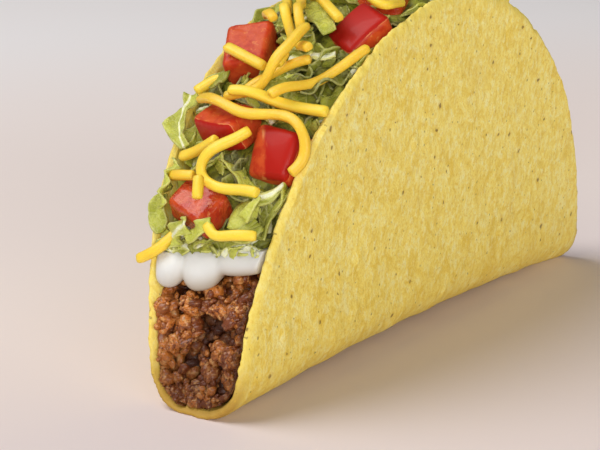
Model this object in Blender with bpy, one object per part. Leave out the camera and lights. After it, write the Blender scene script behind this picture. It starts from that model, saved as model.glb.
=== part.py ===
"""A crisp corn taco shell standing on its fold, filled with meat, soured cream, lettuce, tomato and cheese.

X runs along the fold, +Y goes from the near wall to the far wall, and Z is up. The origin lies on the
surface that the taco stands on, under the middle of its box. Lengths are in metres and angles in degrees.
"""

import math
import random

import bmesh
import bpy
from mathutils import Matrix, Vector, noise
from mathutils.bvhtree import BVHTree

MM = 0.001

# Shell: a round flat bread folded along X
HALF_LENGTH = 71.4 * MM  # from the middle to either end of the fold
RIM_REACH = 77.6 * MM  # from the fold up a wall to the highest point of the rim
RIM_POWER = 1.92  # 2 is an ellipse, and less draws the shoulders in
THICKNESS = 1.9 * MM
FOLD_FLAT = 1.8 * MM  # half width of the level strip along the bottom
FOLD_RADIUS = 8.3 * MM  # of the middle surface, between the strip and a wall
FOLD_RADIUS_CHANGE = -0.05  # share by which it changes from the middle to the far end
FOLD_ARCH = 2.5 * MM  # the fold's middle is this much higher than its ends
LEAN = {"near": (5.7, 1.4), "far": (10.2, -3.7)}  # off upright at the middle, and the change to the far end
FOOT_CUT = 0.7 * MM  # worn flat under both ends of the fold
FOLD_Y = -2.6 * MM  # puts the middle of the box over the origin
RIM_WAVE = 0.5 * MM
RIM_WAVES = (5.0, 2.0, 3.0)  # how often it turns along the fold and up a wall, and where it starts
RIM_WAVE_FROM = (0.2, 0.5)  # share of the way up a wall over which it sets in
RIM_ROUNDS = 8  # times that the search for the rim is repeated

GAP = 0.4 * MM  # between neighbours
SEED = 7

# Layers, by their heights above the lowest point of the uncut fold, in the middle between the walls
LAYER_SLOPE = 1.5 * MM  # rise from there to the near wall
MEAT_TOP = 26.6 * MM
MEAT_INSET = 0.3 * MM  # from the rim to the meat's end
MEAT_LUMP = 1.1 * MM
MEAT_LUMP_SIZE = 5.3 * MM
MEAT_HALF_WIDTH = 10.0 * MM  # about half the width between the walls
MEAT_END = 0.9  # share of the half length past which its ends are lumpy
MEAT_LEVELS = 1.5  # above 1 puts more of its levels round the fold
MEAT_CUTS = (0.3, 0.55, 0.75, 0.88, 0.96)  # shares of the half length
MEAT_SHOULDER = 3.2 * MM  # further inset right under the cream
CREAM_TOP = 30.3 * MM
CREAM_INSET = 0.8 * MM
CREAM_BULGE = 1.6 * MM
CREAM_CURTAIN = 0.95  # share of the half length past which the cream hangs down
CREAM_CUTS = (0.4, 0.7, 0.9, CREAM_CURTAIN, 0.975)
# Hanging lobes at the ends of the cream: place from the near wall, -1, to the far wall, 1, half width, depth
CREAM_LOBES = ((0.74, 0.34, 3.4 * MM), (0.1, 0.38, 4.2 * MM), (-0.5, 0.4, 1.6 * MM))

# Lettuce, in angles round Y up from the near end of the fold
LETTUCE_START = 26.4
LETTUCE_RISE = (26.0, 52.0)  # over which its crown sets in
LETTUCE_CROWN = 2.4 * MM  # middle of the heap above the rim
LETTUCE_EDGE = 2.6 * MM  # sides of the heap below its middle
LETTUCE_LUMP = 2.4 * MM
LETTUCE_LEAST = 1.2 * MM  # thickness at its ends
LETTUCE_LUMP_SIZE = 9.0 * MM
LETTUCE_HALF_WIDTH = 14.0 * MM  # about half the width between the walls at the rim
LETTUCE_NARROW = 0.10  # share by which it narrows towards its crown

RIM_RADIUS_END = 69.5 * MM  # of the rim about Y, up to 30 degrees from an end
RIM_RADIUS_TOP = 74.2 * MM
RIM_END_ANGLE = 30.0
RIM_ROUND = 1.5  # above 1 keeps the rim lower on its shoulders

# Tomato dice: angle up from the near end, place across in mm from the fold, height of the middle above
# the rim, sizes along the rim, across and deep, and the tips about those three in turn
TOMATOES = (
    (32.8, 6.2, 0.4, (8.0, 12.0, 5.6), (-4, 24, -22)),
    (42.9, -6.8, -1.0, (9.6, 9.6, 8.5), (0, -17, -7)),
    (46.2, 6.6, 1.2, (7.5, 12.5, 7.0), (-10, 14, -12)),
    (60.3, 11.0, 1.8, (10.5, 9.6, 9.0), (3, -12, 22)),
    (70.8, -7.4, -1.6, (10.2, 10.2, 8.5), (4, -18, -30)),
    (81.5, -4.0, -0.5, (9.0, 9.5, 8.0), (6, 4, 14)),
    (94.0, 9.5, 0.4, (10.5, 11.0, 9.0), (-6, 3, 32)),
    (104.0, -6.2, 0.2, (11.0, 10.0, 9.0), (8, -5, -18)),
    (119.0, 6.5, -0.4, (11.5, 10.5, 9.0), (-4, 8, 24)),
    (132.0, -5.0, -0.2, (10.0, 11.0, 8.5), (7, 10, -8)),
    (146.0, 3.0, 0.2, (9.0, 12.0, 8.0), (0, -6, 14)),
)
TOMATO_EDGE = 0.7 * MM
TOMATO_SKEW = 0.09  # share of its size by which a corner may be off

# Larger strips of lettuce on the heap: width in mm, then places along the middle, as angle and mm across
STRIPS = (
    (4.5, ((51.5, 19.8), (48.5, 19.5), (45.0, 18.2), (41.5, 14.5))),
    (3.5, ((33.5, 16.2), (30.5, 15.4), (27.5, 13.0))),
    (5.0, ((34.4, -7.6), (31.8, -5.6), (29.2, -4.2))),
    (3.0, ((37.4, -12.2), (35.6, -11.2), (33.9, -8.6))),
    (3.6, ((58.8, -0.8), (59.8, -5.2), (61.4, -9.2))),
    (4.5, ((72.5, 5.0), (68.8, 0.4), (65.8, -4.4))),
    (4.2, ((98.0, 17.5), (94.0, 20.0), (89.0, 19.5))),
    (4.5, ((121.0, 18.0), (125.0, 19.0), (130.0, 16.0), (133.0, 11.5))),
    (4.0, ((112.0, -9.5), (116.0, -6.0), (119.5, -8.5))),
    (4.0, ((139.0, -10.5), (143.0, -8.0), (147.5, -8.5))),
)
STRIP_THICKNESS = 1.3 * MM

# Shreds of cheese, lowest first, by places along the middle
SHREDS = (
    ((51.2, 17.4), (53.7, 15.6), (55.3, 13.4)),
    ((51.0, 4.6), (54.1, 2.0), (56.0, -2.0), (57.6, -7.2)),
    ((36.6, 15.2), (36.2, 10.3), (36.5, 7.6)),
    ((66.8, 11.0), (64.6, 7.6), (63.6, 5.6)),
    ((75.5, 7.6), (69.6, -1.6), (66.8, -6.8)),
    ((74.2, -7.8), (71.8, -13.2), (77.6, -12.0)),
    ((57.2, 12.0), (55.8, 6.4), (54.8, 1.2)),
    ((39.8, 14.0), (40.7, 9.2), (41.8, 4.0)),
    ((22.7, 17.2), (24.3, 13.1), (26.4, 10.9), (28.0, 10.0)),
    ((29.2, 0.0), (28.0, -0.6), (27.5, -2.3), (27.8, -4.5), (28.7, -11.2)),
    (
        (44.2, -2.2), (42.5, -0.6), (40.8, 1.4), (39.2, 4.0), (37.6, 5.8), (36.6, 5.6),
        (35.6, 4.0), (35.0, 1.0), (34.9, -2.6), (35.0, -6.0), (34.7, -9.4),
    ),
    ((35.6, 3.9), (34.0, 3.1), (32.3, 2.6)),
    ((80.0, 18.5), (73.6, 12.6), (67.6, 6.6), (62.2, 1.0)),
    ((78.5, 13.5), (73.8, 8.6), (67.4, 2.6), (62.0, -2.2)),
    ((59.6, -3.2), (59.0, -5.2), (58.2, -7.2)),
    ((57.2, -2.4), (56.0, -2.6), (54.4, -2.6)),
    ((49.0, 6.6), (50.0, 2.0), (51.8, -1.0), (53.4, -3.0), (55.4, -4.0), (57.4, -4.6), (61.6, -4.4)),
    ((48.7, 4.0), (49.1, 0.4), (49.4, -5.0), (50.1, -9.5), (50.5, -14.4)),
    ((48.7, -5.4), (51.2, -7.0), (54.4, -8.6), (57.0, -10.4), (60.0, -12.2), (64.3, -14.2)),
    (
        (49.4, 14.4), (47.2, 6.4), (45.7, -1.6), (46.7, -5.4), (47.2, -8.9),
        (45.8, -12.6), (44.0, -14.4), (41.6, -14.6), (39.0, -13.2),
    ),
    ((84.0, -13.4), (87.5, -6.0), (86.0, 3.0), (88.5, 11.0)),
    ((96.0, -10.5), (98.0, -2.0), (103.5, 4.0), (108.0, 12.0)),
    ((90.0, 15.0), (95.0, 15.5), (101.0, 14.0), (107.0, 9.0)),
    ((110.0, -13.0), (112.5, -6.0), (115.0, 0.0), (121.0, 1.0), (126.0, 5.0)),
    ((112.0, 15.5), (117.0, 10.0), (120.0, 4.0), (119.0, -4.0), (121.5, -11.0)),
    ((127.0, 12.5), (130.0, 6.0), (131.0, -2.0), (134.0, -9.5)),
    ((136.5, 11.5), (139.5, 6.0), (138.5, 0.0), (140.0, -6.0), (142.5, -11.0)),
    ((144.0, 10.0), (148.0, 6.0), (150.5, 0.0), (150.5, -6.0)),
)
SHRED_WIDTH = 2.1 * MM
SHRED_THICKNESS = 1.7 * MM
STEP = 3.2 * MM  # between the points of a strip or a shred
PROBE_STEP = 0.8 * MM  # between the places where it feels for what it lies on
PROBE_MARGIN = 0.7 * MM  # past its sides
BEND_REACH = 3  # probes over which it evens out what it lies on

SHARP_ANGLE = 35.0  # between faces that meet in a sharp edge

COLOURS = {
    "shell": (0.74, 0.56, 0.17, 0.62),
    "meat": (0.23, 0.075, 0.026, 0.38),
    "cream": (0.88, 0.87, 0.83, 0.25),
    "lettuce": (0.36, 0.50, 0.10, 0.45),
    "tomato": (0.62, 0.055, 0.022, 0.22),
    "cheese": (0.86, 0.48, 0.055, 0.42),
}  # red, green, blue and roughness


def clear_scene():
    for old in list(bpy.data.objects):
        bpy.data.objects.remove(old, do_unlink=True)


def finish(name):
    """Material of one kind of food."""
    red, green, blue, roughness = COLOURS[name]
    material = bpy.data.materials.get(name) or bpy.data.materials.new(name)
    material.use_nodes = True
    shader = material.node_tree.nodes["Principled BSDF"]
    shader.inputs["Base Color"].default_value = (red, green, blue, 1.0)
    shader.inputs["Roughness"].default_value = roughness
    shader.inputs["Metallic"].default_value = 0.0
    return material


def add_object(name, bm, material):
    """Object of a bmesh whose points count from the middle of the uncut fold."""
    bmesh.ops.triangulate(bm, faces=bm.faces)  # a cutter grown from it then has the same faces
    bmesh.ops.translate(bm, verts=bm.verts, vec=(0.0, FOLD_Y, -FOOT_CUT))
    mesh = bpy.data.meshes.new(name)
    bm.to_mesh(mesh)
    bm.free()
    mesh.materials.append(finish(material))
    mesh.shade_smooth()
    mesh.set_sharp_from_angle(angle=math.radians(SHARP_ANGLE))
    obj = bpy.data.objects.new(name, mesh)
    bpy.context.scene.collection.objects.link(obj)
    return obj


def block(*stations):
    """Cube from -1 to 1 cut at each axis's stations."""
    bm = bmesh.new()
    bmesh.ops.create_cube(bm, size=2.0)
    for axis, places in enumerate(stations):
        normal = Vector((0.0, 0.0, 0.0))
        normal[axis] = 1.0
        for place in places:
            geometry = bm.verts[:] + bm.edges[:] + bm.faces[:]
            bmesh.ops.bisect_plane(bm, geom=geometry, plane_co=normal * place, plane_no=normal)
    return bm


def even(count):
    """Places that cut -1 to 1 into equal parts."""
    return [2.0 * k / count - 1.0 for k in range(1, count)]


def face_outwards(bm):
    bmesh.ops.recalc_face_normals(bm, faces=bm.faces)
    if bm.calc_volume(signed=True) < 0.0:
        bmesh.ops.reverse_faces(bm, faces=bm.faces)


def move_points(bm, place):
    """Puts each point where a function of its three coordinates says."""
    for vert in bm.verts:
        vert.co = place(*vert.co)
    face_outwards(bm)
    return bm


def mix(a, b, share):
    return a + (b - a) * share


def smooth(edge0, edge1, value):
    share = min(max((value - edge0) / (edge1 - edge0), 0.0), 1.0)
    return share * share * (3.0 - 2.0 * share)


# The shell's shape


def fold(x, side):
    """Radius of the fold's middle surface at x, how far round it a wall starts, and the fold's rise there."""
    along = x / HALF_LENGTH
    middle, change = LEAN[side]
    turn = math.radians(90.0 - middle - change * along)
    return FOLD_RADIUS * (1.0 + FOLD_RADIUS_CHANGE * along), turn, FOLD_ARCH * (1.0 - along * along)


def shell_point(x, reach, out):
    """Point a reach up a wall, near if negative, and out from the middle surface."""
    side = "near" if reach < 0.0 else "far"
    radius, turn, rise = fold(x, side)
    reach, sign = abs(reach), math.copysign(1.0, reach)
    angle = min(max((reach - FOLD_FLAT) / radius, 0.0), turn)
    straight = max(reach - FOLD_FLAT - radius * turn, 0.0)
    y = min(reach, FOLD_FLAT) + (radius + out) * math.sin(angle) + straight * math.cos(turn)
    z = radius - (radius + out) * math.cos(angle) + straight * math.sin(turn)
    return Vector((x, sign * y, z + THICKNESS / 2.0 + rise))


def wall_y(x, z, side):
    """Distance from the fold's middle to the food side of a wall, less the gap."""
    radius, turn, rise = fold(x, side)
    inner = radius - THICKNESS / 2.0 - GAP
    centre = radius + THICKNESS / 2.0 + rise
    tangent = centre - inner * math.cos(turn)
    if z < tangent:
        return FOLD_FLAT + math.sqrt(max(inner * inner - (centre - z) ** 2, 0.0))
    return FOLD_FLAT + inner * math.sin(turn) + (z - tangent) / math.tan(turn)


def floor_z(x):
    """Lowest level that food takes over the fold."""
    return THICKNESS + GAP + FOLD_ARCH * (1.0 - (x / HALF_LENGTH) ** 2)


def across(x, z, place):
    """Y of a place between the walls, from -1 at the near one to 1 at the far one."""
    return mix(-wall_y(x, z, "near"), wall_y(x, z, "far"), (place + 1.0) / 2.0)


def level(height, place):
    """Height of a layer at a place between the walls."""
    return height - LAYER_SLOPE * place


def rim_x(z, side, end):
    """How far from the middle the rim of a wall lies at a height."""
    x = end * HALF_LENGTH
    for _ in range(RIM_ROUNDS):
        radius, turn, rise = fold(x, side)
        height = z - rise - THICKNESS / 2.0
        above = height - radius * (1.0 - math.cos(turn))
        if above > 0.0:
            reach = FOLD_FLAT + radius * turn + above / math.sin(turn)
        else:
            reach = FOLD_FLAT + radius * math.acos(min(max(1.0 - height / radius, -1.0), 1.0))
        share = min(max(reach / RIM_REACH, 0.0), 1.0)
        x = end * HALF_LENGTH * (1.0 - share**RIM_POWER) ** (1.0 / RIM_POWER)
    return abs(x)


def end_x(z, place, end):
    """How far from the middle the opening lies between the two rims."""
    return mix(rim_x(z, "near", end), rim_x(z, "far", end), (place + 1.0) / 2.0)


def rim_radius(angle):
    """Distance of the rim from the Y axis, at an angle up from the near end."""
    rise = max(min(angle, 180.0 - angle) - RIM_END_ANGLE, 0.0) / (90.0 - RIM_END_ANGLE)
    return mix(RIM_RADIUS_END, RIM_RADIUS_TOP, rise**RIM_ROUND)


def polar(angle, radius, y):
    """Point at an angle up from the near end of the fold and a distance from the Y axis."""
    turn = math.radians(angle)
    return Vector((-radius * math.cos(turn), y, radius * math.sin(turn)))


def make_shell():
    def place(a, b, c):
        along = a * math.sqrt(1.0 - b * b / 2.0)
        up = b * math.sqrt(1.0 - a * a / 2.0)
        power = 2.0 / RIM_POWER - 1.0
        x = HALF_LENGTH * along * abs(along) ** power
        reach = RIM_REACH * up * abs(up) ** power
        edge = max(abs(a), abs(b)) ** 6
        wave = noise.noise(Vector((RIM_WAVES[0] * a, RIM_WAVES[1] * b, RIM_WAVES[2])))
        reach += RIM_WAVE * edge * smooth(*RIM_WAVE_FROM, abs(b)) * wave
        point = shell_point(x, reach, c * THICKNESS / 2.0)
        point.z = max(point.z, FOOT_CUT)
        return point

    fold_cuts = (0.024, 0.055, 0.085, 0.115, 0.15, 0.2)
    wall_cuts = (0.3, 0.42, 0.54, 0.66, 0.77, 0.87, 0.95)
    up_cuts = sorted(sign * cut for cut in fold_cuts + wall_cuts for sign in (-1.0, 1.0))
    bm = move_points(block(even(20), up_cuts, ()), place)
    return add_object("shell", bm, "shell")


def make_meat():
    def place(u, v, w):
        end = math.copysign(1.0, u)
        height = ((w + 1.0) / 2.0) ** MEAT_LEVELS
        z = mix(floor_z(HALF_LENGTH * u), level(MEAT_TOP, v), height)
        inset = MEAT_INSET + MEAT_SHOULDER * smooth(0.7, 1.0, height)
        x = u * (end_x(z, v, end) - inset)
        z = mix(floor_z(x), level(MEAT_TOP, v), height)
        lump = MEAT_LUMP * noise.noise(Vector((x, v * MEAT_HALF_WIDTH, z)) / MEAT_LUMP_SIZE)
        x += end * lump * smooth(MEAT_END, 1.0, abs(u))
        z += lump * smooth(0.8, 1.0, height) * smooth(1.0, 0.8, abs(u))
        z -= MEAT_LUMP * smooth(0.9, 1.0, height)
        return Vector((x, across(x, z, v), z))

    along = sorted([sign * cut for cut in MEAT_CUTS for sign in (-1.0, 1.0)] + [0.0])
    bm = move_points(block(along, even(8), even(7)), place)
    return add_object("meat", bm, "meat")


def lobe_depth(place):
    """How far the cream hangs down at a place between the walls."""
    depth = 0.0
    for middle, half_width, drop in CREAM_LOBES:
        off = abs(place - middle) / half_width
        if off < 1.0:
            depth = max(depth, drop * math.sqrt(1.0 - off * off))
    return depth


def make_cream():
    def place(u, v, w):
        end = math.copysign(1.0, u)
        height = (w + 1.0) / 2.0
        hang = smooth(CREAM_CURTAIN, 1.0, abs(u))
        z = level(mix(MEAT_TOP + GAP - hang * lobe_depth(v), CREAM_TOP, height), v)
        bulge = CREAM_BULGE * math.sqrt(max(1.0 - w * w, 0.0)) - CREAM_INSET
        x = u * end_x(z, v, end) + end * hang * bulge
        return Vector((x, across(x, z, v), z))

    along = sorted([sign * cut for cut in CREAM_CUTS for sign in (-1.0, 1.0)] + [0.0])
    bm = move_points(block(along, even(14), (-0.5, 0.0, 0.5)), place)
    return add_object("sour_cream", bm, "cream")


def lettuce_radius(angle, place):
    """Outline of the heap of lettuce."""
    point = polar(angle, rim_radius(angle), place * LETTUCE_HALF_WIDTH)
    lump = LETTUCE_LUMP * noise.noise(point / LETTUCE_LUMP_SIZE)
    rise = smooth(*LETTUCE_RISE, min(angle, 180.0 - angle))
    return rim_radius(angle) + LETTUCE_CROWN * rise - LETTUCE_EDGE * place**4 + lump


def make_lettuce():
    def place(u, v, w):
        angle = mix(LETTUCE_START, 180.0 - LETTUCE_START, (u + 1.0) / 2.0)
        base = level(CREAM_TOP + GAP, v) / math.sin(math.radians(angle))
        radius = mix(base, max(lettuce_radius(angle, v), base + LETTUCE_LEAST), (w + 1.0) / 2.0)
        point = polar(angle, radius, 0.0)
        over = max(radius - rim_radius(angle) + 1.0 * MM, 0.0)
        narrow = 1.0 - LETTUCE_NARROW * over / LETTUCE_CROWN
        point.y = across(point.x, point.z, v * narrow)
        return point

    bm = move_points(block(even(22), even(9), (0.4,)), place)
    return add_object("lettuce", bm, "lettuce")


def make_tomato(name, angle, y, height, sizes, tips, rng):
    """One die of tomato, set in the heap."""
    bm = bmesh.new()
    bmesh.ops.create_cube(bm, size=1.0)
    bmesh.ops.scale(bm, verts=bm.verts, vec=[size * MM for size in sizes])
    for vert in bm.verts:
        vert.co += Vector([rng.uniform(-1.0, 1.0) * TOMATO_SKEW * size * MM for size in sizes])
    bmesh.ops.bevel(
        bm,
        geom=bm.edges[:],
        offset=TOMATO_EDGE,
        segments=1,
        profile=0.5,
        affect="EDGES",
        material=-1,
    )
    tip, pitch, turn = (math.radians(degrees) for degrees in tips)
    stand = (
        Matrix.Translation(polar(angle, rim_radius(angle) + height * MM, y * MM))
        @ Matrix.Rotation(math.radians(angle - 90.0), 4, "Y")
        @ Matrix.Rotation(turn, 4, "Z")
        @ Matrix.Rotation(pitch, 4, "Y")
        @ Matrix.Rotation(tip, 4, "X")
    )
    bmesh.ops.transform(bm, matrix=stand, verts=bm.verts)
    face_outwards(bm)
    return add_object(name, bm, "tomato")


def make_room(obj, neighbour):
    """Cuts a neighbour's shape, grown by the gap, out of an object."""
    cutter = bpy.data.objects.new(f"room_for_{neighbour.name}_in_{obj.name}", neighbour.data.copy())
    bpy.context.scene.collection.objects.link(cutter)
    bm = bmesh.new()
    bm.from_mesh(cutter.data)
    for vert in bm.verts:
        vert.co += vert.normal * vert.calc_shell_factor() * GAP
    bm.to_mesh(cutter.data)
    bm.free()
    cutter.hide_render = True
    cutter.display_type = "WIRE"
    cut = obj.modifiers.new(f"room for {neighbour.name}", "BOOLEAN")
    cut.operation = "DIFFERENCE"
    cut.object = cutter


def curve_through(points, step):
    """Points at about even steps along a smooth curve through the given ones."""
    found = []
    last = len(points) - 1
    for k in range(last):
        before, start = points[max(k - 1, 0)], points[k]
        end, after = points[k + 1], points[min(k + 2, last)]
        count = max(round((end - start).length / step), 1)
        for part in range(count):
            t = part / count
            found.append(
                0.5
                * (
                    2.0 * start
                    + (end - before) * t
                    + (2.0 * before - 5.0 * start + 4.0 * end - after) * t**2
                    + (3.0 * (start - end) + after - before) * t**3
                )
            )
    return found + [points[last]]


def height_under(trees, arc, y):
    """Distance from the Y axis of what lies outermost at a place on the heap, or None."""
    angle = math.degrees(arc / RIM_RADIUS_TOP)
    far_out = polar(angle, 2.0 * RIM_RADIUS_TOP, y)
    hits = [tree.ray_cast(far_out, -polar(angle, 1.0, 0.0)) for tree in trees]
    radii = [math.hypot(hit[0].x, hit[0].z) for hit in hits if hit[0] is not None]
    return max(radii, default=None)


def lay(trees, places, width, thickness):
    """Middle line of a strip that lies on everything beneath it."""
    flat = [Vector((math.radians(angle) * RIM_RADIUS_TOP, y * MM, 0.0)) for angle, y in places]
    path = curve_through(flat, PROBE_STEP)
    last = len(path) - 1
    half = width / 2.0 + PROBE_MARGIN
    count = math.ceil(half / PROBE_STEP)
    under = []
    for k, point in enumerate(path):
        ahead = (path[min(k + 1, last)] - path[max(k - 1, 0)]).normalized()
        side = Vector((-ahead.y, ahead.x, 0.0))
        spots = [point + side * half * off / count for off in range(-count, count + 1)]
        found = [height_under(trees, spot.x, spot.y) for spot in spots]
        under.append(max((radius for radius in found if radius is not None), default=0.0))
    reach = range(-BEND_REACH, BEND_REACH + 1)
    raised = [max(under[min(max(k + off, 0), last)] for off in reach) for k in range(last + 1)]
    around = [[raised[min(max(k + off, 0), last)] for off in reach] for k in range(last + 1)]
    evened = [sum(near) / len(near) for near in around]
    stride = round(STEP / PROBE_STEP)
    points = []
    for k in sorted(set(range(0, last - 1, stride)) | {last}):
        radius = evened[k] + GAP + thickness / 2.0
        points.append(polar(math.degrees(path[k].x / RIM_RADIUS_TOP), radius, path[k].y))
    return points


def make_strip(name, points, width, thickness, material):
    """Flat bar along a line."""
    bm = bmesh.new()
    last = len(points) - 1
    rings = []
    for k, point in enumerate(points):
        ahead = (points[min(k + 1, last)] - points[max(k - 1, 0)]).normalized()
        side = ahead.cross(Vector((point.x, 0.0, point.z))).normalized()
        across_it, out = side * width / 2.0, side.cross(ahead) * thickness / 2.0
        corners = (-across_it - out, across_it - out, across_it + out, -across_it + out)
        rings.append([bm.verts.new(point + corner) for corner in corners])
    for first, second in zip(rings, rings[1:]):
        for k in range(4):
            following = (k + 1) % 4
            bm.faces.new((first[k], first[following], second[following], second[k]))
    bm.faces.new(rings[0])
    bm.faces.new(rings[-1])
    face_outwards(bm)
    return add_object(name, bm, material)


def tree_of(obj):
    """Search tree of an object's finished surface, counted from the middle of the uncut fold."""
    evaluated = obj.evaluated_get(bpy.context.evaluated_depsgraph_get())
    mesh = evaluated.to_mesh()
    back = Vector((0.0, -FOLD_Y, FOOT_CUT))
    points = [vert.co + back for vert in mesh.vertices]
    faces = [tuple(face.vertices) for face in mesh.polygons]
    evaluated.to_mesh_clear()
    return BVHTree.FromPolygons(points, faces)


def main():
    rng = random.Random(SEED)
    clear_scene()
    shell = make_shell()
    meat = make_meat()
    cream = make_cream()
    lettuce = make_lettuce()
    make_room(meat, cream)
    laid = [shell, cream, lettuce]
    for number, tomato in enumerate(TOMATOES, start=1):
        die = make_tomato(f"tomato_{number}", *tomato, rng)
        make_room(lettuce, die)
        laid.append(die)
    trees = [tree_of(obj) for obj in laid]
    for number, (width, places) in enumerate(STRIPS, start=1):
        line = lay(trees, places, width * MM, STRIP_THICKNESS)
        strip = make_strip(f"lettuce_strip_{number}", line, width * MM, STRIP_THICKNESS, "lettuce")
        trees.append(tree_of(strip))
    for number, places in enumerate(SHREDS, start=1):
        line = lay(trees, places, SHRED_WIDTH, SHRED_THICKNESS)
        shred = make_strip(f"cheese_{number}", line, SHRED_WIDTH, SHRED_THICKNESS, "cheese")
        trees.append(tree_of(shred))


main()
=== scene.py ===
import math
import random

import bmesh
import bpy
from mathutils import Matrix, Vector, noise
from mathutils.bvhtree import BVHTree


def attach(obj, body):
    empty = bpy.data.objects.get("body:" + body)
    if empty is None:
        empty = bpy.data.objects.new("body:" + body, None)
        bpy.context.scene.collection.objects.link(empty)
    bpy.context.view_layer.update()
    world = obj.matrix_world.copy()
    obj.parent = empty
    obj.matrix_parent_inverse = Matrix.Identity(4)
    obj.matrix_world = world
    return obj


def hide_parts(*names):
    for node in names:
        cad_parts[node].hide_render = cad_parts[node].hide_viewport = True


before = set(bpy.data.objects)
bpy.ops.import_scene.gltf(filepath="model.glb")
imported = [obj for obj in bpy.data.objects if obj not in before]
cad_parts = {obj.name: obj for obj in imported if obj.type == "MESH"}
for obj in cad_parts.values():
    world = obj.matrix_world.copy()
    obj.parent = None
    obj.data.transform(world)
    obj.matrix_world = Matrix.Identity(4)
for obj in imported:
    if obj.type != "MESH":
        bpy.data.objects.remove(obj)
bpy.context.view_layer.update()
mm = 0.001

bpy.context.scene.view_settings.view_transform = "Standard"


# Sums that every piece uses

def mix(a, b, share):
    return a + (b - a) * share


def ease(low, high, value):
    share = min(max((value - low) / (high - low), 0.0), 1.0)
    return share * share * (3.0 - 2.0 * share)


def rough(point, size, seed=0.0):
    # smooth noise from about -1 to 1, with lumps of that size
    return noise.noise(point / size + Vector((seed, -seed, 0.37 * seed)))


# Shader nodes written as sums

class Wire:
    # one output of a node, or a number, that + - * / turn into Math nodes
    def __init__(self, paint, socket):
        self.paint = paint
        self.socket = socket

    def sum(self, operation, first, second=0.0):
        return self.paint.node("ShaderNodeMath", {"operation": operation}, {0: first, 1: second})

    def __add__(self, other):
        return self.sum("ADD", self, other)

    __radd__ = __add__

    def __sub__(self, other):
        return self.sum("SUBTRACT", self, other)

    def __rsub__(self, other):
        return self.sum("SUBTRACT", other, self)

    def __mul__(self, other):
        return self.sum("MULTIPLY", self, other)

    __rmul__ = __mul__

    def __truediv__(self, other):
        return self.sum("DIVIDE", self, other)

    def __gt__(self, other):
        return self.sum("GREATER_THAN", self, other)


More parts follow.
